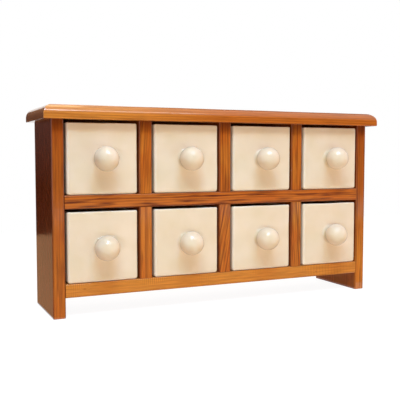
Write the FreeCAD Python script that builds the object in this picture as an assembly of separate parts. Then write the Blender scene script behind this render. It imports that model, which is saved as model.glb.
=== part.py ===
# Tabletop spice cabinet: a pine carcass of two rows of open bays with a glazed ceramic drawer in each.
# Millimetres, +Z up, +X to the right, drawers pull out along -Y.
# The origin is the middle of the overall plan, at the level of the surface that the cabinet stands on.
import FreeCAD, Part
import math
import os

# ---- driving dimensions: carcass ----
carcass_width = 420.0  # over the outer faces of the side panels
side_height = 219.0  # floor to the underside of the top board
side_depth = 91.0  # front edge to back edge of a side panel
side_thickness = 14.0
board_thickness = 15.5  # middle shelf and bottom board
foot_height = 22.5  # floor to the underside of the bottom board
divider_thickness = 16.0
bays_across = 4
arris_radius = 0.8  # sanded edges of the boards
front_arris_radius = 1.6  # front edges, where hands and drawers pass

# ---- driving dimensions: top board ----
top_thickness = 16.0
top_end_overhang = 10.0  # past each side panel
top_front_overhang = 11.0  # past the front edges
top_moulding_radius = 11.0  # quarter round along the front and both ends

# ---- driving dimensions: back panel and its staples ----
panel_thickness = 3.0
rebate_width = 7.0  # bearing for the panel on each side panel
panel_edge_clearance = 0.5  # each upright edge of the panel to its rebate
staple_crown = 10.0
staple_leg = 12.0
staple_wire_width = 1.2
staple_wire_depth = 0.9
staples_per_side = 3
staple_end_inset = 20.0  # from the panel's top and bottom to the outermost side staples

# ---- driving dimensions: dowels ----
dowel_diameter = 6.0
dowel_hole_fit = 0.1  # hole diameter less dowel diameter
dowel_end_gap = 0.5  # glue space past each end of a dowel
dowel_pitch = 50.0  # between the two dowels at each end of a board
dowel_in_side_face = 8.0  # depth across the thickness of a side panel
dowel_in_board_end = 16.0  # depth into the end of a shelf, a divider or a side panel
dowel_in_board_face = 8.0  # depth across the thickness of the top or bottom board

# ---- driving dimensions: drawers ----
drawer_front_lead = 1.0  # drawer front ahead of the front edges of the carcass
drawer_back_clearance = 0.3  # drawer to back panel, which is its stop
drawer_side_clearance = 2.3  # each side, at the front
drawer_head_clearance = 3.15  # over the drawer
drawer_floor_clearance = 0.3  # under the drawer
drawer_taper = 0.8  # each side, narrower at the back
drawer_wall = 4.5
drawer_floor = 5.0
drawer_corner_radius = 3.0  # upright corners, outside and inside
drawer_base_radius = 3.0  # lower edges, outside and inside
drawer_rim_radius = 1.6  # both edges of the rim

# ---- driving dimensions: knobs, cast in one with the drawers ----
knob_diameter = 28.0
knob_stand_off = 1.0  # clear space between the ball and the drawer front
knob_neck_diameter = 15.0
knob_neck_flare = 2.5  # the neck widens by this much, each side, over the same length

# ---- worked-out sizes ----
inside_width = carcass_width - 2 * side_thickness
bay_width = (inside_width - (bays_across - 1) * divider_thickness) / bays_across
bay_height = (side_height - foot_height - 2 * board_thickness) / 2
bay_depth = side_depth - panel_thickness
bay_pitch = bay_width + divider_thickness

drawer_width = bay_width - 2 * drawer_side_clearance
drawer_height = bay_height - drawer_floor_clearance - drawer_head_clearance
drawer_depth = bay_depth + drawer_front_lead - drawer_back_clearance

knob_radius = knob_diameter / 2
knob_centre_reach = knob_radius + knob_stand_off
knob_projection = knob_centre_reach + knob_radius

# ---- worked-out places ----
front_reach = max(knob_projection + drawer_front_lead, top_front_overhang)
y_back = (side_depth + front_reach) / 2
y_front = y_back - side_depth
y_panel = y_back - panel_thickness
y_drawer = y_front - drawer_front_lead
y_board_middle = (y_front + y_panel) / 2

x_side_outer = carcass_width / 2
x_side_inner = inside_width / 2
z_bottom_top = foot_height + board_thickness
z_shelf = z_bottom_top + bay_height
z_shelf_top = z_shelf + board_thickness

bay_centres = [(i - (bays_across - 1) / 2) * bay_pitch for i in range(bays_across)]
divider_centres = [(left + right) / 2 for left, right in zip(bay_centres, bay_centres[1:])]
dowel_rows = [y_board_middle - dowel_pitch / 2, y_board_middle + dowel_pitch / 2]

same_place = 0.001  # edges and faces are found by place, to within this


def block(x_span, y_span, z_span):
    """A rectangular block between the low and high value of each span."""
    size = [high - low for low, high in (x_span, y_span, z_span)]
    corner = FreeCAD.Vector(x_span[0], y_span[0], z_span[0])
    return Part.makeBox(size[0], size[1], size[2], corner)


def centred(middle, width):
    """The span of a given width about its middle."""
    return (middle - width / 2, middle + width / 2)


def edges_between(solid, low, high):
    """The solid's edges that lie wholly between two corner points."""
    room = FreeCAD.BoundBox(*low, *high)
    room.enlarge(same_place)
    return [edge for edge in solid.Edges if room.isInside(edge.BoundBox)]


def face_edges(solid, axis, place):
    """The edges of the solid's flat face that squarely crosses the named axis at the given place."""
    found = []
    for face in solid.Faces:
        box = face.BoundBox
        low, high = {"x": (box.XMin, box.XMax), "y": (box.YMin, box.YMax), "z": (box.ZMin, box.ZMax)}[axis]
        if abs(low - place) < same_place and abs(high - place) < same_place:
            found.extend(face.Edges)
    return found


def rod(start, end, diameter):
    """A round rod from one point to another."""
    start = FreeCAD.Vector(*start)
    run = FreeCAD.Vector(*end) - start
    return Part.makeCylinder(diameter / 2, run.Length, start, run)


# ---- dowels ----
dowel_joints = (
    "dowels_top_to_sides",
    "dowels_shelf_to_sides",
    "dowels_bottom_to_sides",
    "dowels_top_to_dividers",
    "dowels_through_shelf",
    "dowels_bottom_to_dividers",
)


def dowel_axes():
    """The two ends of every dowel, listed under the joint that it holds."""
    x_side = x_side_outer - side_thickness / 2
    x_in_side = x_side_inner + dowel_in_side_face
    x_in_board = x_side_inner - dowel_in_board_end
    z_shelf_middle = z_shelf + board_thickness / 2
    z_bottom_middle = foot_height + board_thickness / 2
    z_in_top = side_height + dowel_in_board_face
    z_in_bottom = z_bottom_top - dowel_in_board_face
    joints = {name: [] for name in dowel_joints}
    for y in dowel_rows:
        for hand in (-1, 1):
            x_out, x_in = hand * x_in_side, hand * x_in_board
            joints["dowels_top_to_sides"].append(
                ((hand * x_side, y, side_height - dowel_in_board_end), (hand * x_side, y, z_in_top))
            )
            joints["dowels_shelf_to_sides"].append(((x_out, y, z_shelf_middle), (x_in, y, z_shelf_middle)))
            joints["dowels_bottom_to_sides"].append(((x_out, y, z_bottom_middle), (x_in, y, z_bottom_middle)))
    y = y_board_middle
    for x in divider_centres:
        joints["dowels_top_to_dividers"].append(((x, y, side_height - dowel_in_board_end), (x, y, z_in_top)))
        joints["dowels_through_shelf"].append(
            ((x, y, z_shelf - dowel_in_board_end), (x, y, z_shelf_top + dowel_in_board_end))
        )
        joints["dowels_bottom_to_dividers"].append(
            ((x, y, z_in_bottom), (x, y, z_bottom_top + dowel_in_board_end))
        )
    return joints


def dowel(start, end):
    """One dowel, short of the ends of its hole by the glue space."""
    start = FreeCAD.Vector(*start)
    end = FreeCAD.Vector(*end)
    inset = (end - start).normalize() * dowel_end_gap
    return rod(start + inset, end - inset, dowel_diameter)


def drill(board, joints, names):
    """The board with the holes of the named dowel joints."""
    holes = [rod(start, end, dowel_diameter + dowel_hole_fit) for name in names for start, end in joints[name]]
    return board.cut(holes)


# ---- staples of the back panel ----
def staple(x, z, upright):
    """One wire staple, driven forwards until its crown is flush with the back of the panel."""
    half = staple_crown / 2
    inner = half - staple_wire_width
    crown_depth = staple_wire_depth
    outline = [
        (-half, 0),
        (-half, -staple_leg),
        (-inner, -staple_leg),
        (-inner, -crown_depth),
        (inner, -crown_depth),
        (inner, -staple_leg),
        (half, -staple_leg),
        (half, 0),
        (-half, 0),
    ]
    wire = Part.makePolygon([FreeCAD.Vector(across, depth, -staple_wire_width / 2) for across, depth in outline])
    solid = Part.Face(wire).extrude(FreeCAD.Vector(0, 0, staple_wire_width))
    if upright:
        solid.rotate(FreeCAD.Vector(0, 0, 0), FreeCAD.Vector(0, 1, 0), 90)
    solid.translate(FreeCAD.Vector(x, y_back, z))
    return solid


def side_staples():
    """Upright staples through the panel into the rebate of each side panel."""
    x = x_side_inner + rebate_width / 2
    low = foot_height + staple_end_inset
    step = (side_height - staple_end_inset - low) / (staples_per_side - 1)
    heights = [low + i * step for i in range(staples_per_side)]
    return [staple(hand * x, z, True) for hand in (-1, 1) for z in heights]


def board_staples(z_board):
    """Level staples through the panel into the back edge of a shelf or bottom board, one behind each bay."""
    return [staple(x, z_board + board_thickness / 2, False) for x in bay_centres]


# ---- carcass ----
def top_board():
    """The top, flush at the back, with a quarter round that meets at a mitre on the front corners."""
    z_top = side_height + top_thickness
    x_end = x_side_outer + top_end_overhang
    y_nose = y_front - top_front_overhang
    board = block((-x_end, x_end), (y_nose, y_back), (side_height, z_top))
    upper = face_edges(board, "z", z_top)
    moulded = [edge for edge in upper if edge.CenterOfMass.y < y_back - same_place]
    board = board.makeFillet(top_moulding_radius, moulded)
    lower = face_edges(board, "z", side_height)
    eased = [edge for edge in lower if edge.CenterOfMass.y < y_back - same_place]
    return board.makeFillet(arris_radius, eased)


def side_panel(hand):
    """A side that runs down into a foot, with its back edge rebated for the back panel."""
    x_span = sorted((hand * x_side_inner, hand * x_side_outer))
    panel = block(x_span, (y_front, y_back), (0, side_height))
    front = edges_between(panel, (x_span[0], y_front, 0), (x_span[1], y_front, side_height))
    rims = [edge for edge in front if edge.Length > side_thickness + same_place]
    panel = panel.makeFillet(front_arris_radius, rims)
    back = edges_between(panel, (hand * x_side_outer, y_back, 0), (hand * x_side_outer, y_back, side_height))
    panel = panel.makeFillet(arris_radius, back + face_edges(panel, "z", 0))
    x_rebate = sorted((hand * x_side_inner, hand * (x_side_inner + rebate_width)))
    return panel.cut(block(x_rebate, (y_panel, y_back), (foot_height, side_height)))


def level_board(z):
    """A shelf between the side panels, in front of the back panel."""
    x_span = (-x_side_inner, x_side_inner)
    board = block(x_span, (y_front, y_panel), (z, z + board_thickness))
    front = face_edges(board, "y", y_front)
    eased = [edge for edge in front if edge.Length > board_thickness + same_place]
    return board.makeFillet(front_arris_radius, eased)


def divider(x, z):
    """An upright between two bays."""
    board = block(centred(x, divider_thickness), (y_front, y_panel), (z, z + bay_height))
    front = face_edges(board, "y", y_front)
    eased = [edge for edge in front if edge.Length > divider_thickness + same_place]
    return board.makeFillet(front_arris_radius, eased)


def back_panel():
    """The thin sheet in the rebates, from the underside of the bottom board to the underside of the top."""
    x_edge = x_side_inner + rebate_width - panel_edge_clearance
    return block((-x_edge, x_edge), (y_panel, y_back), (foot_height, side_height))


# ---- drawers ----
def tapered_block(inset, floor, height):
    """An upright block on the drawer's plan, drawn in by the inset, narrower towards the back."""
    half_front = drawer_width / 2 - inset
    half_back = half_front - drawer_taper
    near, far = inset, drawer_depth - inset
    plan = [(-half_front, near), (half_front, near), (half_back, far), (-half_back, far), (-half_front, near)]
    wire = Part.makePolygon([FreeCAD.Vector(x, y, floor) for x, y in plan])
    solid = Part.Face(wire).extrude(FreeCAD.Vector(0, 0, height - floor))
    uprights = [edge for edge in solid.Edges if edge.BoundBox.ZLength > same_place]
    return solid.makeFillet(drawer_corner_radius, uprights)


def knob():
    """The ball on its flared neck, turned about an axis that runs forwards from the drawer front."""
    neck_radius = knob_neck_diameter / 2
    foot_radius = neck_radius + knob_neck_flare
    meet_reach = knob_centre_reach - math.sqrt(knob_radius**2 - neck_radius**2)

    def at(radius, reach):
        return FreeCAD.Vector(radius, -reach, 0)

    root = -drawer_wall / 2
    meet = at(neck_radius, meet_reach)
    tip = at(0, knob_projection)
    foot = [at(0, root), at(foot_radius, root), at(foot_radius, 0), at(neck_radius, knob_neck_flare)]
    neck = Part.makePolygon([tip] + foot + [meet])
    ball = Part.Arc(meet, at(knob_radius, knob_centre_reach), tip).toShape()
    outline = Part.Wire(neck.Edges + [ball])
    solid = Part.Face(outline).revolve(FreeCAD.Vector(0, 0, 0), FreeCAD.Vector(0, 1, 0), 360)
    solid.translate(FreeCAD.Vector(0, 0, drawer_height / 2))
    return solid


def drawer_casting():
    """One drawer, its front at Y = 0 and its underside at Z = 0: an open slip-cast box with its knob."""
    outside = tapered_block(0, 0, drawer_height)
    outside = outside.makeFillet(drawer_base_radius, face_edges(outside, "z", 0))
    inside = tapered_block(drawer_wall, drawer_floor, drawer_height)
    inside = inside.makeFillet(drawer_base_radius, face_edges(inside, "z", drawer_floor))
    tray = outside.cut(inside)
    tray = tray.makeFillet(drawer_rim_radius, face_edges(tray, "z", drawer_height))
    return tray.fuse(knob()).removeSplitter()


def placed(solid, x, z):
    """A copy of the drawer in the bay whose middle and floor are given."""
    copy = solid.copy()
    copy.translate(FreeCAD.Vector(x, y_drawer, z + drawer_floor_clearance))
    return copy


# ---- the whole cabinet ----
def build():
    """Every node's name and shape."""
    joints = dowel_axes()
    staples_in_sides = side_staples()
    staples_in_shelf = board_staples(z_shelf)
    staples_in_bottom = board_staples(foot_height)
    staples = staples_in_sides + staples_in_shelf + staples_in_bottom

    nodes = {}
    nodes["top_board"] = drill(top_board(), joints, ["dowels_top_to_sides", "dowels_top_to_dividers"])
    for name, hand in (("left", -1), ("right", 1)):
        panel = drill(
            side_panel(hand), joints, ["dowels_top_to_sides", "dowels_shelf_to_sides", "dowels_bottom_to_sides"]
        )
        nodes[f"side_panel_{name}"] = panel.cut(staples_in_sides)
    shelf = drill(level_board(z_shelf), joints, ["dowels_shelf_to_sides", "dowels_through_shelf"])
    nodes["middle_shelf"] = shelf.cut(staples_in_shelf)
    bottom = drill(level_board(foot_height), joints, ["dowels_bottom_to_sides", "dowels_bottom_to_dividers"])
    nodes["bottom_board"] = bottom.cut(staples_in_bottom)
    for i, x in enumerate(divider_centres, 1):
        upper = divider(x, z_shelf_top)
        lower = divider(x, z_bottom_top)
        nodes[f"divider_upper_{i}"] = drill(upper, joints, ["dowels_top_to_dividers", "dowels_through_shelf"])
        nodes[f"divider_lower_{i}"] = drill(lower, joints, ["dowels_bottom_to_dividers", "dowels_through_shelf"])
    nodes["back_panel"] = back_panel().cut(staples)
    for name, axes in joints.items():
        nodes[name] = Part.makeCompound([dowel(start, end) for start, end in axes])
    nodes["back_panel_staples"] = Part.makeCompound(staples)

    casting = drawer_casting()
    for i, x in enumerate(bay_centres, 1):
        nodes[f"drawer_upper_{i}"] = placed(casting, x, z_shelf_top)
        nodes[f"drawer_lower_{i}"] = placed(casting, x, z_bottom_top)
    return nodes


os.makedirs("parts", exist_ok=True)
for node, shape in build().items():
    shape.exportStep(f"parts/{node}.step")
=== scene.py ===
# A tabletop cabinet: eight slip-cast drawers in a lacquered pine carcass, around its packed construction.
# Metres, in the construction's own frame: +Z up, +X to the right, and the drawers pull out along -Y.
import math

import bmesh
import bpy
import numpy as np
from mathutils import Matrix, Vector


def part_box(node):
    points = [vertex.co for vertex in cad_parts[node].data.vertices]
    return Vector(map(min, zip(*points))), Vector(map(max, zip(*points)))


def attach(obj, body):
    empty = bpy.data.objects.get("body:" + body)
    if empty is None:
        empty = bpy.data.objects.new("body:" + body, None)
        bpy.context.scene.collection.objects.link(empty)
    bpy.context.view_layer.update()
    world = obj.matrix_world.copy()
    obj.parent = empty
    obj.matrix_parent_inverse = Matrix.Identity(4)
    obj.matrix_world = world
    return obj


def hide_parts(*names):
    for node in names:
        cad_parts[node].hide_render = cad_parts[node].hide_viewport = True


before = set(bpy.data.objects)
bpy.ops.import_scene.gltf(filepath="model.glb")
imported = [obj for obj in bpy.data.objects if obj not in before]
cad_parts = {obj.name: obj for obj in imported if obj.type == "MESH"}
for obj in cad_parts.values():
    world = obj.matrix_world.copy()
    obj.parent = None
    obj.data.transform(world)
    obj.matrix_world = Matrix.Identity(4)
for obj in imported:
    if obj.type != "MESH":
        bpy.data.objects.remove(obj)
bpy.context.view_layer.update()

mm = 0.001

# ---- sizes of the pieces, as the construction has them ----
bays_across = 4
top_moulding_radius = 11 * mm
arris_radius = 0.8 * mm  # the top board's lower edge
mitre_easing = 0.5 * mm  # the sanded ridge where the mouldings meet

drawer_taper = 0.8 * mm
drawer_wall = 4.5 * mm
drawer_floor = 5.0 * mm
drawer_corner_radius = 3.0 * mm
drawer_base_radius = 3.0 * mm
drawer_rim_radius = 1.6 * mm

knob_radius = 14.0 * mm
knob_stand_off = 1.0 * mm
knob_throat_radius = 3.5 * mm  # the hollow curve between the ball and the drawer front
knob_projection = 2 * knob_radius + knob_stand_off

top_low, top_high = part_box("top_board")
top_thickness = top_high.z - top_low.z
y_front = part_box("side_panel_left")[0].y  # the front edges of the boards


# ---- camera ----
picture_width = 400  # pixels
focal_length = 668.0  # pixels
sensor_width = 36.0
camera_across = -365.4 * mm  # from the middle of the cabinet
camera_ahead = 722.5 * mm  # in front of the carcass
camera_height = 178.9 * mm
camera_turn = math.radians(-24.67)  # to the right of straight ahead
camera_tilt = math.radians(-3.74)


def place_camera():
    """The camera, low and to the left of the cabinet."""
    lens = bpy.data.cameras.new("camera")
    lens.sensor_width = sensor_width
    lens.lens = focal_length / picture_width * sensor_width
    lens.clip_start = 0.01
    camera = bpy.data.objects.new("camera", lens)
    camera.location = (camera_across, y_front - camera_ahead, camera_height)
    camera.rotation_euler = (math.pi / 2 + camera_tilt, 0, camera_turn)
    bpy.context.scene.collection.objects.link(camera)
    bpy.context.scene.camera = camera


place_camera()
bpy.context.scene.view_settings.view_transform = "Standard"


# ---- node trees ----
def linear(code):
    """A linear RGBA colour from an sRGB hex code."""
    shares = np.array([int(code[i : i + 2], 16) for i in (1, 3, 5)]) / 255
    curve = np.where(shares <= 0.04045, shares / 12.92, ((shares + 0.055) / 1.055) ** 2.4)
    return (*curve.tolist(), 1.0)


def add(tree, kind, inputs=None, **settings):
    """A node with its settings.

    An input is a plain value, a node, which gives its first output, or a node with an output's name.
    """
    made = tree.nodes.new(kind)
    for name, value in settings.items():
        setattr(made, name, value)
    for key, value in (inputs or {}).items():
        named = [s for s in made.inputs if s.enabled and s.name == key]
        socket = made.inputs[key] if isinstance(key, int) else named[0]
        if isinstance(value, bpy.types.Node):
            value = (value, next(s.name for s in value.outputs if s.enabled))
        if isinstance(value, tuple) and isinstance(value[0], bpy.types.Node):
            source = next(s for s in value[0].outputs if s.enabled and s.name == value[1])
            tree.links.new(source, socket)
        else:
            socket.default_value = value
    return made


def new_material(name):
    """An empty material and its node tree."""
    material = bpy.data.materials.new(name)
    material.use_nodes = True
    material.node_tree.nodes.clear()
    return material, material.node_tree


def principled(tree, finish):
    """Ends a node tree in a Principled shader with these inputs."""
    shader = add(tree, "ShaderNodeBsdfPrincipled", finish)
    add(tree, "ShaderNodeOutputMaterial", {"Surface": shader})


# ---- lacquered pine ----
growth_ring = 3.0 * mm  # slow-grown pine has rings about 1 to 4 mm apart
ring_wander = 7.0 * mm  # how far the rings stray from true circles
ring_wander_width = 40 * mm
ring_wander_length = 260 * mm
fibre_width = 0.9 * mm  # real fibres are finer than a pixel: drawn coarse enough to show
fibre_length = 30 * mm
streak_width = 3.2 * mm  # where the stain took more deeply
streak_length = 45 * mm
cloud_size = 26 * mm
edge_band = 2.6 * mm  # stain and lacquer dry darker along an edge
painted_top_shade_height = 16 * mm  # painted shade in the corner under the top board's overhang
chatter_pitch = 2.4 * mm  # cutter marks of the planer, real ones being about 1.5 mm apart
late_wood_starts = 0.3  # as a share of the ring
late_wood_full = 0.85
late_wood_ends = 0.88
faintest_ring = 0.2  # beside 1 for the darkest
streak_span = (0.5, 0.68)  # of the noise, from no streak to a full one
gold_span = (0.44, 0.56)
cloud_stretch = 0.45
fibre_gain = (0.78, 1.2)
cut_end_gain = 0.85
knot_shape = (0.8, 0, 1.3)  # a knot looks longer along the board than across it
knot_reach = 4.0  # in knot sizes, how far out the rings still bend
knot_push = 2.5
painted_side_shade_span = (0.6, 0.95)  # of the surface's turn towards an end of the cabinet, where painted shade sets in
fade_span = (-150 * mm, 0.0)  # across the cabinet, where the top starts and stops deepening
painted_foot_light_span = (130 * mm, 10 * mm)  # heights between which painted light brightens a side towards its foot
fibre_relief = 0.03 * mm
lacquer_ripple = 5 * mm
lacquer_relief = 0.012 * mm
GRAIN_TURN = {"x": math.pi / 2, "z": 0.0}  # about Y, to bring the grain upright
GRAIN_AXIS = {"x": (1, 0, 0), "z": (0, 0, 1)}
HONEY = {"pale": "#CC7F2E", "gold": "#CA7D28", "dark": "#A35A20", "streak": "#8E4614"}
AMBER = {"pale": "#C0641B", "gold": "#C27526", "dark": "#7A3410", "streak": "#5C220A"}
RUDDY = {"pale": "#A54F13", "gold": "#AC5C17", "dark": "#6E2C0C", "streak": "#521D08"}


def lacquered_pine(
    node,
    grain,
    pith,
    stain,
    gold_share=0.5,
    ring_share=0.8,
    streak_share=0.5,
    edge_share=0.5,
    lean=0.0,
    # painted shade under the top board comes next, and further down painted shade on faces turned to the
    # ends and painted light at a side's foot
    painted_top_shade=0.0,
    chatter=0.0,
    painted_side_shade=(1.0, 1.0, 1.0),
    fade=(1.0, 1.0, 1.0),
    painted_foot_light=(1.0, 1.0, 1.0),
    ripple_gain=1.0,
    knots=(),
):
    """Slab-sawn pine, stained honey to amber and sprayed with clear gloss lacquer.

    Growth rings are cylinders round a pith line that runs along the grain, bent by slow noise. So each face
    shows the figure that its cut would: near-straight lines along the grain and arcs on the end. The late
    wood of each ring is dark and hard-edged. The lacquer is a clear coat over a duller, fibrous ground.
    grain is the axis along the board, which may lean, and pith is the log's middle in the turned frame.
    """
    low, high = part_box(node)
    material, tree = new_material(f"pine_{node}")
    place = add(tree, "ShaderNodeTexCoord")
    at = (place, "Object")
    axes = add(tree, "ShaderNodeSeparateXYZ", {"Vector": at})
    normal = add(tree, "ShaderNodeSeparateXYZ", {"Vector": (place, "Normal")})
    turn = (0, GRAIN_TURN[grain] + lean, 0)
    turned = add(tree, "ShaderNodeMapping", {"Vector": at, "Location": pith, "Rotation": turn})

    # rings: distance from the pith line, bent by noise that is stretched along the grain
    stretch = (1, 1, ring_wander_width / ring_wander_length)
    slow = add(tree, "ShaderNodeMapping", {"Vector": turned, "Scale": stretch})
    stray = {"Vector": slow, "Scale": 1 / ring_wander_width, "Detail": 2.0}
    wander = add(tree, "ShaderNodeTexNoise", stray)
    bend = {0: (wander, "Color"), 1: (ring_wander, ring_wander, 0), 2: turned}
    bent = add(tree, "ShaderNodeVectorMath", bend, operation="MULTIPLY_ADD")
    across = add(tree, "ShaderNodeVectorMath", {0: bent, 1: (1, 1, 0)}, operation="MULTIPLY")
    from_pith = (add(tree, "ShaderNodeVectorMath", {0: across}, operation="LENGTH"), "Value")

    # a knot pushes the rings aside and darkens its own middle
    knot_shade = add(tree, "ShaderNodeValue")
    knot_shade.outputs[0].default_value = 0.0
    for centre, size in knots:
        offset = add(tree, "ShaderNodeVectorMath", {0: at, 1: centre}, operation="SUBTRACT")
        beside = add(tree, "ShaderNodeVectorMath", {0: offset, 1: knot_shape}, operation="MULTIPLY")
        reach = (add(tree, "ShaderNodeVectorMath", {0: beside}, operation="LENGTH"), "Value")
        span = {"Value": reach, "From Min": knot_reach * size, "From Max": 0.0}
        near = add(tree, "ShaderNodeMapRange", span, interpolation_type="SMOOTHERSTEP")
        push = {0: near, 1: knot_push * size, 2: from_pith}
        from_pith = add(tree, "ShaderNodeMath", push, operation="MULTIPLY_ADD")
        heart = {"Value": reach, "From Min": 1.2 * size, "From Max": 0.4 * size}
        core = add(tree, "ShaderNodeMapRange", heart)
        knot_shade = add(tree, "ShaderNodeMath", {0: knot_shade, 1: core}, operation="MAXIMUM")

    # late wood darkens slowly outwards through each ring and stops short at its edge
    count = add(tree, "ShaderNodeMath", {0: from_pith, 1: growth_ring}, operation="DIVIDE")
    part = add(tree, "ShaderNodeMath", {0: count}, operation="FRACT")
    number = add(tree, "ShaderNodeMath", {0: count}, operation="FLOOR")
    luck = add(tree, "ShaderNodeTexWhiteNoise", {"W": number}, noise_dimensions="1D")
    rise = {"Value": part, "From Min": late_wood_starts, "From Max": late_wood_full}
    late = add(tree, "ShaderNodeMapRange", rise, interpolation_type="SMOOTHSTEP")
    stop = add(tree, "ShaderNodeMapRange", {"Value": part, "From Min": 1.0, "From Max": late_wood_ends})
    sharp = add(tree, "ShaderNodeMath", {0: late, 1: stop}, operation="MULTIPLY")
    spread = {0: luck, 1: 1 - faintest_ring, 2: faintest_ring}
    strength = add(tree, "ShaderNodeMath", spread, operation="MULTIPLY_ADD")
    late_wood = add(tree, "ShaderNodeMath", {0: sharp, 1: strength}, operation="MULTIPLY")

    # fibres, stain streaks and slow clouds of tone, all stretched along the grain
    fibre_stretch = (1, 1, fibre_width / fibre_length)
    fine = add(tree, "ShaderNodeMapping", {"Vector": turned, "Scale": fibre_stretch})
    fibre_look = {"Vector": fine, "Scale": 1 / fibre_width, "Detail": 3.0, "Roughness": 0.6}
    fibre = add(tree, "ShaderNodeTexNoise", fibre_look)
    streak_stretch = (1, 1, streak_width / streak_length)
    drawn = add(tree, "ShaderNodeMapping", {"Vector": bent, "Scale": streak_stretch})
    uptake = add(tree, "ShaderNodeTexNoise", {"Vector": drawn, "Scale": 1 / streak_width, "Detail": 2.0})
    deep = {"Value": uptake, "From Min": streak_span[0], "From Max": streak_span[1]}
    streaks = add(tree, "ShaderNodeMapRange", deep)
    wide = add(tree, "ShaderNodeMapping", {"Vector": turned, "Scale": (1, 1, cloud_stretch)})
    cloud = add(tree, "ShaderNodeTexNoise", {"Vector": wide, "Scale": 1 / cloud_size, "Detail": 2.0})
    golden = {"Value": cloud, "From Min": gold_span[0], "From Max": gold_span[1]}
    patch = add(tree, "ShaderNodeMapRange", golden)

    # dark along the board's long edges, and painted shade at its upper end, where it meets the top board
    # and lies under its overhang
    width_axis, first, last = ("X", low.x, high.x) if grain == "z" else ("Z", low.z, high.z)
    sideways = {0: (axes, width_axis), 1: (first + last) / 2}
    from_middle = add(tree, "ShaderNodeMath", sideways, operation="SUBTRACT")
    outwards = add(tree, "ShaderNodeMath", {0: from_middle}, operation="ABSOLUTE")
    half = (last - first) / 2
    band = {"Value": outwards, "From Min": half - edge_band, "From Max": half, "To Max": edge_share}
    edge = add(tree, "ShaderNodeMapRange", band, interpolation_type="SMOOTHSTEP")
    painted_top_shade_low = high.z - painted_top_shade_height
    corner = {"Value": (axes, "Z"), "From Min": painted_top_shade_low, "From Max": high.z, "To Max": painted_top_shade}
    painted_top_shade_mask = add(tree, "ShaderNodeMapRange", corner, interpolation_type="SMOOTHSTEP")
    edges_and_painted_top_shade = add(tree, "ShaderNodeMath", {0: edge, 1: painted_top_shade_mask}, operation="MAXIMUM")

    # colour: early wood to late wood, then streaks, dark edges with the painted shade under the top board,
    # and knots
    colour = linear(stain["pale"])
    layers = (
        (patch, gold_share, "gold"),
        (late_wood, ring_share, "dark"),
        (streaks, streak_share, "streak"),
        (edges_and_painted_top_shade, 1.0, "streak"),
        (knot_shade, 0.4, "streak"),
    )
    for mask, share, look in layers:
        amount = add(tree, "ShaderNodeMath", {0: mask, 1: share}, operation="MULTIPLY")
        mixing = {"Factor": amount, "A": colour, "B": linear(stain[look])}
        colour = add(tree, "ShaderNodeMix", mixing, data_type="RGBA")

    # gains: fibre, the planer's marks where the wood is golden, and cut ends, which drink more stain
    pass_by = {0: (axes, "X"), 1: 2 * math.pi / chatter_pitch}
    marks = add(tree, "ShaderNodeMath", pass_by, operation="MULTIPLY")
    wave = add(tree, "ShaderNodeMath", {0: marks}, operation="SINE")
    dent = add(tree, "ShaderNodeMath", {0: patch, 1: chatter}, operation="MULTIPLY")
    chattered = add(tree, "ShaderNodeMath", {0: wave, 1: dent, 2: 1.0}, operation="MULTIPLY_ADD")
    fibre_span = {"Value": fibre, "From Min": 0.3, "From Max": 0.7}
    fibre_span |= dict(zip(("To Min", "To Max"), fibre_gain))
    grainy = add(tree, "ShaderNodeMapRange", fibre_span)
    facing = {0: (place, "Normal"), 1: GRAIN_AXIS[grain]}
    endwise = (add(tree, "ShaderNodeVectorMath", facing, operation="DOT_PRODUCT"), "Value")
    end_grain = add(tree, "ShaderNodeMath", {0: endwise}, operation="ABSOLUTE")
    end_span = {"Value": end_grain, "From Min": 0.5, "From Max": 0.9, "To Min": 1.0, "To Max": cut_end_gain}
    end_gain = add(tree, "ShaderNodeMapRange", end_span)
    gain = add(tree, "ShaderNodeMath", {0: grainy, 1: chattered}, operation="MULTIPLY")
    total = add(tree, "ShaderNodeMath", {0: gain, 1: end_gain}, operation="MULTIPLY")
    scaled = add(tree, "ShaderNodeVectorMath", {0: colour, "Scale": total}, operation="SCALE")

    # painted shade darkens the faces turned towards the cabinet's ends and painted light brightens a side
    # towards its foot, and the top deepens towards the right
    breadth = add(tree, "ShaderNodeMath", {0: (normal, "X")}, operation="ABSOLUTE")
    tints = (
        (breadth, painted_side_shade_span, painted_side_shade),
        ((axes, "X"), fade_span, fade),
        ((axes, "Z"), painted_foot_light_span, painted_foot_light),
    )
    for measure, (start, end), tint in tints:
        mask = add(tree, "ShaderNodeMapRange", {"Value": measure, "From Min": start, "From Max": end})
        mixing = {"Factor": mask, "A": (1, 1, 1, 1), "B": (*tint, 1)}
        tinting = add(tree, "ShaderNodeMix", mixing, data_type="RGBA")
        scaled = add(tree, "ShaderNodeVectorMath", {0: scaled, 1: tinting}, operation="MULTIPLY")

    # relief: raised fibres under a lacquer film that has flowed almost flat
    fibres_up = add(tree, "ShaderNodeBump", {"Height": fibre, "Distance": fibre_relief})
    flow = add(tree, "ShaderNodeMapping", {"Vector": at, "Scale": (1, 0.3, 1)})
    wavy = {"Vector": flow, "Scale": 1 / lacquer_ripple, "Detail": 1.0}
    ripple = add(tree, "ShaderNodeTexNoise", wavy)
    swell = {"Height": ripple, "Distance": lacquer_relief * ripple_gain}
    film = add(tree, "ShaderNodeBump", swell)
    finish = {
        "Base Color": scaled,
        "Roughness": 0.5,
        "Specular IOR Level": 0.15,
        "Coat Weight": 1.0,
        "Coat Roughness": 0.1,
        "Normal": fibres_up,
        "Coat Normal": film,
    }
    principled(tree, finish)
    return material


# ---- hardboard ----
screen_pitch = 1.6 * mm  # the wire screen that the wet mat is pressed on
screen_relief = 0.12 * mm
pulp_fleck = 1.2 * mm
pulp_clouds = 18.0  # per metre
fleck_share = 0.6
fleck_relief = 0.5  # beside 1 for the print of the screen


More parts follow.
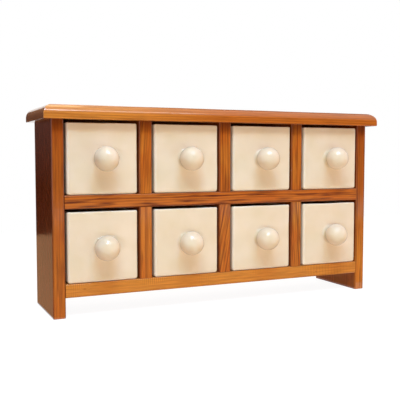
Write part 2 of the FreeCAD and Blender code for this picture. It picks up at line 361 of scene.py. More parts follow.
def pressed_hardboard():
    """Hardboard: wood pulp pressed hot on a wire screen, smooth on one face and netted on the other.

    It is an even, dull brown with paler fibre flecks, and only its back has the print of the screen.
    """
    material, tree = new_material("pressed_hardboard")
    place = add(tree, "ShaderNodeTexCoord")
    at = (place, "Object")
    flecked = {"Vector": at, "Scale": 1 / pulp_fleck, "Detail": 4.0, "Roughness": 0.7}
    fleck = add(tree, "ShaderNodeTexNoise", flecked)
    cloud = add(tree, "ShaderNodeTexNoise", {"Vector": at, "Scale": pulp_clouds, "Detail": 2.0})
    tone = {0: fleck, 1: fleck_share, 2: -fleck_share / 2}
    toned = add(tree, "ShaderNodeMath", tone, operation="MULTIPLY_ADD")
    level = add(tree, "ShaderNodeMath", {0: cloud, 1: toned}, operation="ADD")
    browns = {"Factor": level, "A": linear("#4E2E18"), "B": linear("#8E6038")}
    mixed = add(tree, "ShaderNodeMix", browns, data_type="RGBA")
    axes = add(tree, "ShaderNodeSeparateXYZ", {"Vector": at})
    turn = 2 * math.pi / screen_pitch
    along = add(tree, "ShaderNodeMath", {0: (axes, "X"), 1: turn}, operation="MULTIPLY")
    upward = add(tree, "ShaderNodeMath", {0: (axes, "Z"), 1: turn}, operation="MULTIPLY")
    warp = add(tree, "ShaderNodeMath", {0: along}, operation="SINE")
    weft = add(tree, "ShaderNodeMath", {0: upward}, operation="SINE")
    net = add(tree, "ShaderNodeMath", {0: warp, 1: weft}, operation="MAXIMUM")
    normal = add(tree, "ShaderNodeSeparateXYZ", {"Vector": (place, "Normal")})
    rear = add(tree, "ShaderNodeMath", {0: (normal, "Y"), 1: 0.5}, operation="GREATER_THAN")
    print_depth = add(tree, "ShaderNodeMath", {0: net, 1: rear}, operation="MULTIPLY")
    both = {0: fleck, 1: fleck_relief, 2: print_depth}
    height = add(tree, "ShaderNodeMath", both, operation="MULTIPLY_ADD")
    relief = add(tree, "ShaderNodeBump", {"Height": height, "Distance": screen_relief})
    finish = {"Base Color": mixed, "Roughness": 0.72, "Specular IOR Level": 0.3, "Normal": relief}
    principled(tree, finish)
    return material


# ---- beech dowels ----
ray_fleck = 0.8 * mm
ray_relief = 0.05 * mm


def turned_beech(grain):
    """Beech dowel rod: pale, close-grained and unfinished, with short, darker ray flecks along it."""
    material, tree = new_material(f"turned_beech_{grain}")
    place = add(tree, "ShaderNodeTexCoord")
    turn = (0, GRAIN_TURN[grain], 0)
    turned = add(tree, "ShaderNodeMapping", {"Vector": (place, "Object"), "Rotation": turn})
    stretched = add(tree, "ShaderNodeMapping", {"Vector": turned, "Scale": (1, 1, 0.2)})
    short = {"Vector": stretched, "Scale": 1 / ray_fleck, "Detail": 2.0}
    flecks = add(tree, "ShaderNodeTexNoise", short)
    marks = add(tree, "ShaderNodeMapRange", {"Value": flecks, "From Min": 0.55, "From Max": 0.7})
    beiges = {"Factor": marks, "A": linear("#D9B48C"), "B": linear("#A97B52")}
    mixed = add(tree, "ShaderNodeMix", beiges, data_type="RGBA")
    relief = add(tree, "ShaderNodeBump", {"Height": flecks, "Distance": ray_relief})
    principled(tree, {"Base Color": mixed, "Roughness": 0.6, "Normal": relief})
    return material


# ---- staple wire ----
spangle_size = 0.6 * mm
wire_roughness = (0.3, 0.5)


def galvanised_wire():
    """Zinc-coated steel wire, drawn flat: a grey metal, cloudy with fine spangle."""
    material, tree = new_material("galvanised_wire")
    place = add(tree, "ShaderNodeTexCoord")
    cloudy = {"Vector": (place, "Object"), "Scale": 1 / spangle_size, "Detail": 2.0}
    spangle = add(tree, "ShaderNodeTexNoise", cloudy)
    greys = {"Factor": spangle, "A": linear("#8C8F90"), "B": linear("#C9CBC8")}
    mixed = add(tree, "ShaderNodeMix", greys, data_type="RGBA")
    span = {"Value": spangle, "From Min": 0.3, "From Max": 0.7}
    span |= dict(zip(("To Min", "To Max"), wire_roughness))
    rough = add(tree, "ShaderNodeMapRange", span)
    principled(tree, {"Base Color": mixed, "Metallic": 1.0, "Roughness": rough})
    return material


# ---- glazed drawers ----
glaze_cloud = 28 * mm
glaze_ripple = 9 * mm
glaze_relief = 0.03 * mm
glaze_glow = 3.5 * mm  # how far light spreads under the glaze and in the pale body
speck_pitch = 7 * mm
speck_size = 0.35 * mm
speck_depth = 0.35  # share of the iron's colour at the middle of a speck
biscuit_grit = 0.5 * mm
wiped_edge_wander = 4 * mm
glaze_roughness = 0.14
biscuit_roughness = 0.8


def cream_glaze():
    """Earthenware under a cream gloss glaze, dipped and fired.

    The glaze thins and lightens over edges, gathers a little deeper in hollows and has a few faint iron
    specks. The underside is wiped bare, so it shows the matt biscuit body. The "glaze" attribute is 1 on
    edges, 0 on flats and -1 in hollows, and the "bare" attribute is 1 where the body shows.
    """
    material, tree = new_material("cream_glaze")
    place = add(tree, "ShaderNodeTexCoord")
    at = (place, "Object")
    coat = add(tree, "ShaderNodeAttribute", attribute_name="glaze")
    bare = add(tree, "ShaderNodeAttribute", attribute_name="bare")
    cloud = add(tree, "ShaderNodeTexNoise", {"Vector": at, "Scale": 1 / glaze_cloud, "Detail": 2.0})
    flow = add(tree, "ShaderNodeMath", {0: (coat, "Fac"), 1: 0.5, 2: cloud}, operation="MULTIPLY_ADD")
    tone = add(tree, "ShaderNodeMapRange", {"Value": flow})
    creams = {"Factor": tone, "A": linear("#DFCBA6"), "B": linear("#EFDCC2")}
    glazed = add(tree, "ShaderNodeMix", creams, data_type="RGBA")

    # iron specks
    cells = add(tree, "ShaderNodeTexVoronoi", {"Vector": at, "Scale": 1 / speck_pitch})
    cell_share = speck_size / speck_pitch
    spot = {"Value": (cells, "Distance"), "From Min": 0.5 * cell_share, "From Max": cell_share}
    spot |= {"To Min": speck_depth, "To Max": 0.0}
    speck = add(tree, "ShaderNodeMapRange", spot)
    rusty = {"Factor": speck, "A": glazed, "B": linear("#9A7A50")}
    specked = add(tree, "ShaderNodeMix", rusty, data_type="RGBA")

    # the wiped underside, which ends in an uneven edge
    grit = add(tree, "ShaderNodeTexNoise", {"Vector": at, "Scale": 1 / biscuit_grit, "Detail": 3.0})
    bodies = {"Factor": grit, "A": linear("#D8C2A2"), "B": linear("#EBDDC6")}
    biscuit = add(tree, "ShaderNodeMix", bodies, data_type="RGBA")
    edge = add(tree, "ShaderNodeTexNoise", {"Vector": at, "Scale": 1 / wiped_edge_wander, "Detail": 2.0})
    uneven = add(tree, "ShaderNodeMath", {0: edge, 1: 0.5, 2: (bare, "Fac")}, operation="MULTIPLY_ADD")
    wiped = add(tree, "ShaderNodeMapRange", {"Value": uneven, "From Min": 0.7, "From Max": 0.8})
    surface = {"Factor": wiped, "A": specked, "B": biscuit}
    colour = add(tree, "ShaderNodeMix", surface, data_type="RGBA")
    polish = {"Value": wiped, "To Min": glaze_roughness, "To Max": biscuit_roughness}
    rough = add(tree, "ShaderNodeMapRange", polish)

    # relief: grit where it is bare and a slow ripple in the glaze
    ripple = add(tree, "ShaderNodeTexNoise", {"Vector": at, "Scale": 1 / glaze_ripple, "Detail": 1.0})
    gritty = add(tree, "ShaderNodeMath", {0: grit, 1: wiped}, operation="MULTIPLY")
    height = add(tree, "ShaderNodeMath", {0: gritty, 1: ripple}, operation="ADD")
    relief = add(tree, "ShaderNodeBump", {"Height": height, "Distance": glaze_relief})
    finish = {
        "Base Color": colour,
        "Roughness": rough,
        "Normal": relief,
        "Specular IOR Level": 0.4,
        "Subsurface Weight": 0.6,
        "Subsurface Radius": (1.0, 1.0, 1.0),
        "Subsurface Scale": glaze_glow,
    }
    principled(tree, finish)
    return material


# ---- surfaces worked out with numpy ----
SIDE_TURNS = np.radians([-90.0, 0.0, 90.0, 180.0])  # outward from the front, right, back and left
merge_distance = 0.002 * mm
wave_count = 6
wave_spread = (0.7, 1.4)  # how far the waves differ in pitch


def even(count):
    """Stations from 0 up to, but not including, 1."""
    return np.arange(count) / count


def edge_close(count, share):
    """Stations from 0 up to, but not including, 1, with one more close to each end."""
    inner = share + np.arange(count - 1) / (count - 2) * (1 - 2 * share)
    return np.concatenate(([0.0], inner))


def loop_columns(stations, arc_steps):
    """What each point of a closed loop of four straights and four quarter circles is made from.

    A straight runs from one corner to the next and faces its side's direction all along. A quarter
    circle stays at its corner while its direction turns by 90 degrees. Returns, for each point, the two
    corners, the share of the way between them and the direction.
    """
    first, second, share, turn = [], [], [], []
    for side, facing in enumerate(SIDE_TURNS):
        straight = len(stations[side])
        first += [side] * straight + [(side + 1) % 4] * arc_steps
        second += [(side + 1) % 4] * (straight + arc_steps)
        share += [*stations[side], *[0.0] * arc_steps]
        turn += [facing] * straight
        turn += [*(facing + math.pi / 2 * even(arc_steps))]
    return np.array(first), np.array(second), np.array(share), np.array(turn)


def loops(corners, radius, columns):
    """Rows of closed loops.

    corners is rows x 4 x 2, the centres of the corner circles, and radius has one value per row. A point
    lies part of the way from one corner centre to the next, plus the radius in its own direction.
    """
    first, second, share, turn = columns
    centre = corners[:, first] * (1 - share)[:, None] + corners[:, second] * share[:, None]
    direction = np.stack((np.cos(turn), np.sin(turn)), axis=-1)
    return centre + radius[:, None, None] * direction


def grid_faces(rows, columns):
    """Quads of a grid that closes on itself along its rows, as rows - 1 x columns x 4 point numbers."""
    number = np.arange(rows * columns).reshape(rows, columns)
    ahead = np.roll(number, -1, axis=1)
    return np.stack((number[:-1], ahead[:-1], ahead[1:], number[1:]), axis=-1)


def build_piece(name, points, quads, material, attributes=None, sharp_angle=None):
    """An object from points and quads. Coincident points are merged, which closes poles and seams."""
    mesh = bpy.data.meshes.new(name)
    mesh.from_pydata(points.reshape(-1, 3).tolist(), [], quads.reshape(-1, 4).tolist())
    for label, values in (attributes or {}).items():
        layer = mesh.attributes.new(label, "FLOAT", "POINT")
        layer.data.foreach_set("value", values.ravel().astype(np.float32))
    work = bmesh.new()
    work.from_mesh(mesh)
    bmesh.ops.remove_doubles(work, verts=work.verts, dist=merge_distance)
    bmesh.ops.delete(work, geom=[v for v in work.verts if not v.link_faces], context="VERTS")
    bmesh.ops.recalc_face_normals(work, faces=work.faces)
    work.to_mesh(mesh)
    work.free()
    mesh.shade_smooth()
    if sharp_angle is not None:
        mesh.set_sharp_from_angle(angle=sharp_angle)
    mesh.materials.append(material)
    piece = bpy.data.objects.new(name, mesh)
    bpy.context.scene.collection.objects.link(piece)
    return piece


def slow_waves(points, seed, height, length):
    """A smooth offset for each point, added up from six sine waves.

    Each wave runs in its own seeded direction, is about one length long and pulls the point along another
    seeded direction, by half the height at most.
    """
    luck = np.random.default_rng(seed)
    heading = luck.normal(size=(wave_count, 3))
    heading /= np.linalg.norm(heading, axis=1)[:, None]
    pull = luck.normal(size=(wave_count, 3))
    pull /= np.linalg.norm(pull, axis=1)[:, None]
    phase = luck.uniform(0, 2 * math.pi, wave_count)
    stretch = luck.uniform(*wave_spread, wave_count)
    angle = points @ (heading * (2 * math.pi / length * stretch)[:, None]).T + phase
    return height * np.sin(angle) @ pull / 2


def quarter(steps):
    """Angles from 0 to 90 degrees."""
    return np.linspace(0, math.pi / 2, steps + 1)


# ---- one drawer ----
wall_stations = edge_close(27, 0.008)
corner_steps = 8
floor_steps = 10
base_steps = 7
rim_steps = 6
flat_rim_rows = 4
throat_steps = 15
ball_steps = 45
border_rings = 9
glaze_gather_rows = 3.0  # how quickly the glaze that gathers in the throat fades out on the ball
base_thinness = 0.7  # of the glaze, beside 1 on the rim's edges
rim_thinness = 0.8
corner_thinness = 0.6
wiped_share = 2.2  # the bare foot ends at 1 / this of the base radius's height
cast_swell = 0.16 * mm
cast_swell_length = 55 * mm
foot_calm = 12 * mm  # the height over which the swells set in
first_seed = {"upper": 100, "lower": 110}


def tray_section(height):
    """The line that the drawer's wall follows from the middle of its underside to the middle of its floor.

    Returns, row by row, the inset from the outer face, the height, the corner radius, the share of the
    loop's full size, how thin the glaze is and how bare the body. In order: flat underside, base radius,
    outer wall, quarter round of the rim's outer edge, flat rim, quarter round of its inner edge, inner
    wall, inner base radius and flat floor. Also returns the first and the last row of the outer wall.
    """
    grow = np.linspace(0, 1, floor_steps)
    base, rim = quarter(base_steps), quarter(rim_steps)
    up = np.concatenate((wall_stations, [1.0]))
    low_wall, high_wall = drawer_base_radius, height - drawer_rim_radius
    flat_rim = np.linspace(drawer_rim_radius, drawer_wall - drawer_rim_radius, flat_rim_rows)
    low_inner = drawer_floor + drawer_base_radius
    ones, none = np.ones_like, np.zeros_like
    inner_corner = drawer_corner_radius + drawer_rim_radius

    underside = (drawer_base_radius * ones(grow), 0 * grow, none(grow), grow, none(grow), ones(grow))
    base_inset = drawer_base_radius * (1 - np.sin(base))
    base_height = drawer_base_radius * (1 - np.cos(base))
    base_rows = (
        base_inset,
        base_height,
        drawer_corner_radius - base_inset,
        ones(base),
        base_thinness * np.sin(2 * base),
        np.clip(1 - wiped_share * base_height / drawer_base_radius, 0, 1),
    )
    wall_height = low_wall + up * (high_wall - low_wall)
    wall_rows = (none(up), wall_height, drawer_corner_radius * ones(up), ones(up), none(up), none(up))
    rim_inset = drawer_rim_radius * (1 - np.cos(rim))
    rim_rows = (
        rim_inset,
        high_wall + drawer_rim_radius * np.sin(rim),
        drawer_corner_radius - rim_inset,
        ones(rim),
        np.sin(rim),
        none(rim),
    )
    rim_share = (flat_rim - flat_rim[0]) / (flat_rim[-1] - flat_rim[0])
    narrow = drawer_corner_radius - drawer_rim_radius
    flat_rows = (
        flat_rim,
        height * ones(flat_rim),
        narrow + rim_share * (inner_corner - narrow),
        ones(flat_rim),
        rim_thinness * ones(flat_rim),
        none(flat_rim),
    )
    inner_inset = flat_rim[-1] + drawer_rim_radius * np.sin(rim)
    inner_rim_rows = (
        inner_inset,
        high_wall + drawer_rim_radius * np.cos(rim),
        drawer_corner_radius + drawer_wall - inner_inset,
        ones(rim),
        np.cos(rim),
        none(rim),
    )
    inner_rows = (
        drawer_wall * ones(up),
        high_wall + up * (low_inner - high_wall),
        drawer_corner_radius * ones(up),
        ones(up),
        none(up),
        none(up),
    )
    hollow_inset = drawer_wall + drawer_base_radius * (1 - np.cos(base))
    hollow_rows = (
        hollow_inset,
        low_inner - drawer_base_radius * np.sin(base),
        drawer_corner_radius + drawer_wall - hollow_inset,
        ones(base),
        -np.sin(2 * base),
        none(base),
    )
    floor_rows = (
        (drawer_wall + drawer_base_radius) * ones(grow),
        drawer_floor * ones(grow),
        none(grow),
        grow[::-1],
        none(grow),
        none(grow),
    )
    outside = (underside, base_rows, wall_rows, rim_rows, flat_rows)
    inside = (inner_rim_rows, inner_rows, hollow_rows, floor_rows)
    section = [np.concatenate(values) for values in zip(*outside, *inside)]
    first_wall_row = len(grow) + len(base)
    return section, first_wall_row, first_wall_row + len(up) - 1


def tray_corners(inset, corner, width, depth):
    """The four corner centres of each row's loop, on a plan that narrows towards the back."""
    half_front = width / 2 - inset - corner
    half_back = half_front - drawer_taper
    near = inset + corner
    far = depth - inset - corner
    corners = [(-half_front, near), (half_front, near), (half_back, far), (-half_back, far)]
    return np.stack([np.stack(pair, axis=-1) for pair in corners], axis=1)


def knob_profile():
    """How far the knob's outline stands from its axis and from the drawer front, row by row.

    It starts on the drawer front and follows a hollow arc up to the ball, which it meets without a corner.
    Then it follows the ball to its tip. The arc's centre is as far from the ball's centre as both radii
    together. Returns both distances and how thin the glaze is, which gathers in the hollow.
    """
    centre_reach = knob_radius + knob_stand_off
    along_axis = centre_reach - knob_throat_radius
    throat_offset = math.sqrt((knob_radius + knob_throat_radius) ** 2 - along_axis**2)
    meeting = math.atan2(throat_offset, -along_axis)
    hollow = np.linspace(0, meeting, throat_steps)
    ball = np.linspace(meeting, 0, ball_steps + 1)[1:]
    throat_out = throat_offset - knob_throat_radius * np.sin(hollow)
    throat_reach = knob_throat_radius * (1 - np.cos(hollow))
    ball_out = knob_radius * np.sin(ball)
    ball_reach = centre_reach + knob_radius * np.cos(ball)
    out = np.concatenate((throat_out, ball_out))
    reach = np.concatenate((throat_reach, ball_reach))
    in_hollow = -np.sin(np.minimum(hollow, math.pi / 2)) ** 2
    on_ball = -np.exp(-np.arange(ball_steps) / glaze_gather_rows)
    return out, reach, np.concatenate((in_hollow, on_ball))


def front_with_knob(border, height):
    """The drawer's flat front and its knob, as rings from the border of the front to the tip of the ball.

    Every ring has one point for each border point, in that point's direction from the knob's axis. The
    first rings lie part of the way from the border to the knob's root circle, and the rest are the turned
    profile.
    """
    axis = np.array([0.0, height / 2])
    spoke = border - axis
    direction = spoke / np.linalg.norm(spoke, axis=1)[:, None]
    out, reach, gather = knob_profile()
    share = np.linspace(0, 1, border_rings)[:, None, None]
    flat = spoke * (1 - share) + out[0] * direction * share
    turned = out[1:, None, None] * direction
    plane = np.concatenate((flat, turned)) + axis
    forward = np.concatenate((np.zeros(len(flat)), reach[1:]))
    glaze = np.concatenate((np.zeros(len(flat) - 1), gather))
    columns = np.ones(len(border))
    rings = np.stack((plane[..., 0], -forward[:, None] * columns, plane[..., 1]), axis=-1)
    return rings, glaze[:, None] * columns


def slip_cast_drawer(name, seed, material):
    """One drawer in one closed skin: a tapered open box with rounded edges and a turned knob on its front.

    The box is a stack of loops that follow tray_section, on a plan that tray_corners narrows to the back.
    Its front is the rings of front_with_knob.
    """
    low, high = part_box(name)
    width = high.x - low.x
    height = high.z - low.z
    depth = high.y - low.y - knob_projection
    section, wall_start, wall_end = tray_section(height)
    inset, up, corner, size, thin, bare = section
    columns = loop_columns([wall_stations] * 4, corner_steps)
    plan = loops(tray_corners(inset, corner, width, depth), corner, columns)
    middle = np.array([0.0, depth / 2])
    plan = middle + (plan - middle) * size[:, None, None]
    rows, around = plan.shape[:2]
    tray = np.concatenate((plan, np.broadcast_to(up[:, None, None], (rows, around, 1))), axis=-1)

    # the front's flat rectangle is left open for the front with its knob
    front = len(wall_stations)
    quads = grid_faces(rows, around)
    keep = np.ones(quads.shape[:2], bool)
    keep[wall_start:wall_end, :front] = False
    wall = np.arange(wall_start, wall_end + 1)
    flat = np.arange(front + 1)
    rises = len(wall) - 1
    border_row = (np.full(front, wall_start), wall[:-1], np.full(front, wall_end), wall[:0:-1])
    border_column = (flat[:-1], np.full(rises, front), flat[:0:-1], np.zeros(rises, int))
    border = tray[np.concatenate(border_row), np.concatenate(border_column)][:, [0, 2]]
    rings, knob_glaze = front_with_knob(border, height)
    ring_quads = grid_faces(*rings.shape[:2]) + rows * around

    # thin glaze on the wall's upright corners at the front left and the back right
    halfway = np.sin(2 * columns[3])
    corner_thin = np.exp(-((halfway - 1) ** 2) / 0.3) * (np.abs(halfway) > 0.01)
    wall_zone = np.zeros((rows, 1))
    wall_zone[wall] = 1.0
    thin = thin[:, None]
    glaze = np.maximum(thin, corner_thinness * corner_thin * wall_zone)
    glaze = np.where(thin < 0, thin, glaze)
    points = np.concatenate((tray.reshape(-1, 3), rings.reshape(-1, 3)))
    attributes = {
        "glaze": np.concatenate((glaze.ravel(), knob_glaze.ravel())),
        "bare": np.concatenate((np.repeat(bare, around), np.zeros(knob_glaze.size))),
    }

    # slip casting leaves slow hollows and swells, none on the foot that it stands on
    from_foot = np.clip((points[:, 2] - drawer_base_radius) / foot_calm, 0, 1)
    swell = slow_waves(points + [low.x, 0, low.z], seed, cast_swell, cast_swell_length)
    points += swell * from_foot[:, None]
    points += [(low.x + high.x) / 2, high.y - depth, low.z]
    faces = np.concatenate((quads[keep], ring_quads.reshape(-1, 4)))
    drawer = build_piece(f"{name}_casting", points, faces, material, attributes)
    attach(drawer, name)
    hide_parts(name)


# ---- the top board ----
long_stations = edge_close(90, 0.002)
short_stations = edge_close(24, 0.008)
mitre_steps = 3
flat_steps = 12
arris_steps = 4
nose_steps = 5
moulding_steps = 18
board_bow = 0.1 * mm
board_bow_length = 120 * mm
board_seed = 41
seat_calm = 4 * mm  # the height over which the bow sets in
ridge_angle = math.radians(40)


def moulded_top(material):
    """The top: a board whose front and ends are rounded over by a router and mitred at the front corners.

    It is made of loops on the board's plan, each drawn in from the nose by the moulding's inset at that
    height. The back stays flush, so only the front and the ends draw in. The section is an underside, an
    arris, an upright nose, a quarter circle and the flat top.
    """
    grow = np.linspace(0, 1, flat_steps)
    ease, round_over = quarter(arris_steps), quarter(moulding_steps)
    nose = np.linspace(arris_radius, top_thickness - top_moulding_radius, nose_steps)
    inset = np.concatenate(
        (
            arris_radius * np.ones(len(grow)),
            arris_radius * (1 - np.sin(ease)),
            np.zeros(len(nose)),
            top_moulding_radius * (1 - np.cos(round_over)),
            top_moulding_radius * np.ones(len(grow)),
        )
    )
    up = np.concatenate(
        (
            np.zeros(len(grow)),
            arris_radius * (1 - np.cos(ease)),
            nose,
            top_thickness - top_moulding_radius + top_moulding_radius * np.sin(round_over),
            top_thickness * np.ones(len(grow)),
        )
    )
    middle_rows = len(ease) + len(nose) + len(round_over)
    size = np.concatenate((grow, np.ones(middle_rows), grow[::-1]))
    half = (top_high.x - top_low.x) / 2 - inset - mitre_easing
    near = top_low.y + inset + mitre_easing
    far = top_high.y - mitre_easing + 0 * inset
    pairs = [(-half, near), (half, near), (half, far), (-half, far)]
    corners = np.stack([np.stack(pair, axis=-1) for pair in pairs], axis=1)
    columns = loop_columns([long_stations, short_stations] * 2, mitre_steps)
    plan = loops(corners, mitre_easing * np.ones(len(inset)), columns)
    middle = np.array([0.0, (top_low.y + top_high.y) / 2])
    plan = middle + (plan - middle) * size[:, None, None]
    rows, around = plan.shape[:2]
    height = np.broadcast_to(top_low.z + up[:, None, None], (rows, around, 1))
    points = np.concatenate((plan, height), axis=-1).reshape(-1, 3)

    # the board has bowed a little since it was planed, apart from the underside on its seats
    above = np.clip((points[:, 2] - top_low.z) / seat_calm, 0, 1)
    points = points + slow_waves(points, board_seed, board_bow, board_bow_length) * above[:, None]
    faces = grid_faces(rows, around)
    board = build_piece("top_board_moulded", points, faces, material, sharp_angle=ridge_angle)
    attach(board, "cabinet")
    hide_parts("top_board")


# ---- finishes of the carcass ----
# each side's pith line, its painted shade on the faces turned to the ends, darkest on the left, and its
# painted light at the foot
SIDE_PANELS = {
    "side_panel_left": ((0.09, -0.02, 0.0), (0.72, 0.48, 0.34), (1.28, 1.45, 1.5)),
    "side_panel_right": ((-0.33, 0.05, 0.3), (0.9, 0.75, 0.7), (1.62, 2.3, 2.1)),
}
DIVIDER_LEANS = {"divider_upper_1": -0.05, "divider_lower_2": -0.2, "divider_lower_3": 0.06}
GOLDEN_DIVIDER = "divider_lower_3"
divider_seed = 12
SMALL_KNOTS = (((-174.8 * mm, 0, 31.4 * mm), 1.6 * mm), ((133.3 * mm, 0, 28.5 * mm), 1.3 * mm))
DOWELS = {
    "x": ("dowels_shelf_to_sides", "dowels_bottom_to_sides"),
    "z": (
        "dowels_top_to_sides",
        "dowels_top_to_dividers",
        "dowels_through_shelf",
        "dowels_bottom_to_dividers",
    ),
}


def paint(node, material):
    """Gives a node of the construction its finish."""
    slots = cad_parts[node].data.materials
    slots.clear()
    slots.append(material)


def finish_carcass():
    """Each board is its own piece of pine: its own pith, and its own tone by how it took the stain. The
    sides and the upper dividers also carry painted shade, and the sides painted light at the foot.
    """
    luck = np.random.default_rng(divider_seed)
    # painted shade under the top board's overhang on the sides' upper ends
    side_looks = {"streak_share": 0.4, "ring_share": 0.7, "edge_share": 0.45, "painted_top_shade": 0.6}
    side_looks["ripple_gain"] = 4.0
    # painted shade on each side's faces turned to the ends and painted light at its foot
    for name, (pith, side_shade_gain, foot_light_gain) in SIDE_PANELS.items():
        pine = lacquered_pine(name, "z", pith, RUDDY, painted_side_shade=side_shade_gain, painted_foot_light=foot_light_gain, **side_looks)
        paint(name, pine)
    for name in sorted(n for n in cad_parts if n.startswith("divider_")):
        pith = (luck.uniform(0.02, 0.2), luck.uniform(0.03, 0.12), luck.uniform(0, 1))
        # painted shade under the top board's overhang on the upper dividers
        painted_top_shade = 0.7 if "upper" in name else 0.0
        looks = {"ring_share": 0.9, "edge_share": 0.75, "lean": DIVIDER_LEANS.get(name, 0.0), "painted_top_shade": painted_top_shade}
        looks["gold_share"] = 0.95 if name == GOLDEN_DIVIDER else 0.5
        paint(name, lacquered_pine(name, "z", pith, AMBER, **looks))
    looks = {"gold_share": 0.2, "streak_share": 0.9, "edge_share": 0.4}
    paint("middle_shelf", lacquered_pine("middle_shelf", "x", (0.19, 0.06, 0.2), AMBER, **looks))
    looks = {"streak_share": 0.15, "ring_share": 0.4, "edge_share": 0.2, "chatter": 0.2}
    looks["knots"] = SMALL_KNOTS
    paint("bottom_board", lacquered_pine("bottom_board", "x", (0.12, 0.09, 0.6), HONEY, **looks))
    paint("back_panel", pressed_hardboard())
    paint("back_panel_staples", galvanised_wire())
    for grain, names in DOWELS.items():
        beech = turned_beech(grain)
        for name in names:
            paint(name, beech)


finish_carcass()
top_looks = {"streak_share": 0.25, "ring_share": 0.6, "edge_share": 0.0, "fade": (0.8, 0.58, 0.4)}
# painted shade on the top's ends, greying them
top_looks["painted_side_shade"] = (0.8, 0.76, 1.0)
moulded_top(lacquered_pine("top_board", "x", (0.23, 0.05, 0.9), HONEY, **top_looks))
drawer_glaze = cream_glaze()
for level, seed in first_seed.items():
    for bay in range(bays_across):
        slip_cast_drawer(f"drawer_{level}_{bay + 1}", seed + bay, drawer_glaze)


# ---- floor, flags, world and lamps ----
WHITE = (1, 1, 1, 1)
FLOOR_PLAN = ((-270, -1500), (1400, -1500), (1400, 830), (-405, 830))  # millimetres, a tabletop
FLOOR_WARMTH = (0.78, 0.62, 0.53, 1)  # what the floor throws back on the cabinet
FLOOR_GLOW = 0.94  # as it is seen: nearly white by itself
FLOOR_CATCH = (0.15, 0.15, 0.15, 1)  # and the rest by lamplight, so that it shows the shadow
ROOM_DIFFUSE = (0.06, 0.018, 0.005, 1)  # the dim, warm room that lights the object from all round
FLAG_LEFT = ((-1600, 760, 0), (-211, 760, 0), (-211, 760, 1600), (-1600, 760, 1600))  # millimetres
FLAG_RIGHT = ((211, 760, 0), (1600, 760, 0), (1600, 760, 1600), (211, 760, 1600))
FLAG_FRONT = ((-700, -1500, 0), (1600, -1500, 0), (1600, -1500, 1300), (-700, -1500, 1300))
FLAG_DARK = (0.02, 0.008, 0.004, 1)  # near the floor
FLAG_GREY = (0.17, 0.1, 0.085, 1)  # higher up
FLAG_RISE = (110 * mm, 400 * mm)  # the heights between which it grows paler
CLOTH_EDGE = ((-1600, -1100), (900, -1100), (900, -60), (195, -60))
CLOTH_PLAN = (*CLOTH_EDGE, (195, 70), (-211, 70), (-211, 760), (-1600, 760))
CLOTH_HEIGHT = 2  # millimetres above the floor
CLOTH_COLOUR = (0.48, 0.27, 0.135, 1)
FILL_TINT = (1.0, 0.86, 0.87)
CARD_TINT = (0.6, 1.0, 0.6)
PINK_TINT = (0.95, 0.84, 0.95)
KEY_TINT = (0.58, 0.84, 0.98)
SKY_TINT = (0.31, 0.58, 1.0)
GLEAM_TINT = (0.9, 0.9, 1.0)
WARM_TINT = (1.0, 0.36, 0.01)
CREAM_TINT = (1.0, 0.95, 0.85)
AMBER_TINT = (1.0, 0.8, 0.5)


def direct_sight(tree):
    """One where a ray comes from the camera, off a gloss or through glass, and nothing elsewhere."""
    path = add(tree, "ShaderNodeLightPath")
    seen = {0: (path, "Is Camera Ray"), 1: (path, "Is Glossy Ray")}
    either = add(tree, "ShaderNodeMath", seen, operation="MAXIMUM")
    through = {0: either, 1: (path, "Is Transmission Ray")}
    return add(tree, "ShaderNodeMath", through, operation="MAXIMUM")


def stand(name, corners, material):
    """A flat piece of the studio, given by its corners in millimetres."""
    mesh = bpy.data.meshes.new(name)
    mesh.from_pydata([(x * mm, y * mm, z * mm) for x, y, z in corners], [], [range(len(corners))])
    mesh.materials.append(material)
    piece = bpy.data.objects.new(name, mesh)
    bpy.context.scene.collection.objects.link(piece)
    return piece


def pale_floor():
    """A pale floor: white to the camera, in every gloss and through glass, apart from the shadow on it."""
    material, tree = new_material("pale_floor")
    glow = add(tree, "ShaderNodeEmission", {"Color": WHITE, "Strength": FLOOR_GLOW})
    catch = add(tree, "ShaderNodeBsdfDiffuse", {"Color": FLOOR_CATCH})
    seen = add(tree, "ShaderNodeAddShader", {0: glow, 1: catch})
    dull = add(tree, "ShaderNodeBsdfDiffuse", {"Color": FLOOR_WARMTH})
    surface = add(tree, "ShaderNodeMixShader", {0: direct_sight(tree), 1: dull, 2: seen})
    add(tree, "ShaderNodeOutputMaterial", {"Surface": surface})
    stand("floor", [(x, y, 0) for x, y in FLOOR_PLAN], material)


def studio_cloth(name, corners, low, high):
    """A dark flag or a cloth of the studio, of one colour low down and another high up.

    Glossy rays alone meet it, so it hides the white room from the gloss on its side and nothing else.
    """
    material, tree = new_material(name)
    place = add(tree, "ShaderNodeTexCoord")
    level = add(tree, "ShaderNodeSeparateXYZ", {0: (place, "Object")})
    rise = {"Value": (level, "Z"), "From Min": FLAG_RISE[0], "From Max": FLAG_RISE[1]}
    share = add(tree, "ShaderNodeMapRange", rise)
    colour = add(tree, "ShaderNodeMix", {"Factor": share, "A": low, "B": high}, data_type="RGBA")
    glow = add(tree, "ShaderNodeEmission", {"Color": colour})
    add(tree, "ShaderNodeOutputMaterial", {"Surface": glow})
    cloth = stand(name, corners, material)
    for ray in ("camera", "diffuse", "shadow", "transmission"):
        setattr(cloth, f"visible_{ray}", False)


def pale_world():
    """White to the camera, in every gloss and through glass, and a dim, warm room to all other rays."""
    world = bpy.data.worlds.new("room")
    world.use_nodes = True
    tree = world.node_tree
    tree.nodes.clear()
    rooms = {"Factor": direct_sight(tree), "A": ROOM_DIFFUSE, "B": WHITE}
    colour = add(tree, "ShaderNodeMix", rooms, data_type="RGBA")
    shade = add(tree, "ShaderNodeBackground", {"Color": colour})
    add(tree, "ShaderNodeOutputWorld", {"Surface": shade})
    bpy.context.scene.world = world


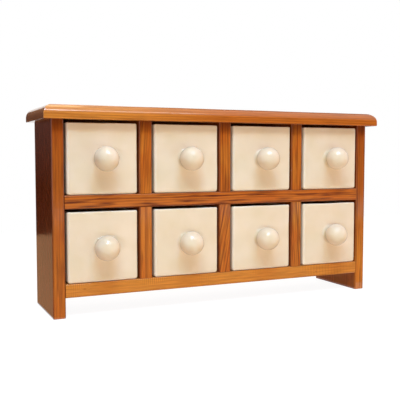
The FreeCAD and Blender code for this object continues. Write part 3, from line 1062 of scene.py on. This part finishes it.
def softbox(name, place, aim, size, power, colour, mirrored=False):
    """A rectangular soft lamp, its size in metres and its power in watts.

    It is seen in glossy surfaces only where that is asked for.
    """
    lamp = bpy.data.lights.new(name, "AREA")
    lamp.shape = "RECTANGLE"
    lamp.size, lamp.size_y = size
    lamp.energy = power
    lamp.color = colour
    holder = bpy.data.objects.new(name, lamp)
    holder.location = place
    holder.rotation_euler = (Vector(place) - Vector(aim)).to_track_quat("Z", "Y").to_euler()
    holder.visible_camera = False
    holder.visible_glossy = mirrored
    bpy.context.scene.collection.objects.link(holder)


def light_studio():
    """Cool keys high in front, a warm fill low down, and small lamps for single tasks.

    A card on the floor before the cabinet lights the fronts from below. The gleam is for the highlight
    along the top's moulding, the side lamp for the right side, the knob light for the balls, the overhead
    box for the top's left end and the back lamp for the back panel.
    """
    front = (0, y_front, 0.12)
    softbox("fill_low", (-1.0, -2.2, 0.12), front, (1.2, 0.2), 22.6, FILL_TINT)
    softbox("card", (0.0, -0.4, 0.02), (0, y_front, 0.15), (0.6, 0.2), 0.45, CARD_TINT)
    softbox("key_right", (0.2, -1.6, 2.0), front, (0.4, 0.4), 6.3, PINK_TINT, mirrored=True)
    softbox("key_left", (-0.64, -1.07, 1.5), front, (0.3, 0.3), 10.4, KEY_TINT, mirrored=True)
    softbox("key_high", (-0.2, -1.0, 1.9), front, (0.5, 0.5), 24.8, SKY_TINT, mirrored=True)
    softbox("gleam", (0.38, -1.07, 1.4), front, (0.6, 0.22), 2.4, GLEAM_TINT, mirrored=True)
    softbox("side_right", (1.6, -0.5, 0.8), (0.2, 0, 0.12), (1.0, 1.0), 8.0, WARM_TINT)
    knobs = (-0.1, -0.05, 0.12)
    softbox("knob_light", (-0.2, -0.2, 0.95), knobs, (0.22, 0.12), 0.5, CREAM_TINT, mirrored=True)
    top_left = (-0.19, 0.0, 0.2)
    softbox("overhead_box", (-0.19, 0.13, 0.85), top_left, (0.36, 0.36), 1.6, AMBER_TINT, mirrored=True)
    softbox("back_lamp", (0.75, 1.5, 1.0), (0.1, 0.06, 0.12), (0.9, 0.7), 18.0, (1, 1, 1))


pale_floor()
studio_cloth("flag_left", FLAG_LEFT, FLAG_DARK, FLAG_GREY)
studio_cloth("flag_right", FLAG_RIGHT, FLAG_DARK, FLAG_GREY)
studio_cloth("flag_front", FLAG_FRONT, FLAG_DARK, FLAG_DARK)
studio_cloth("ground_cloth", [(x, y, CLOTH_HEIGHT) for x, y in CLOTH_PLAN], CLOTH_COLOUR, CLOTH_COLOUR)
pale_world()
light_studio()
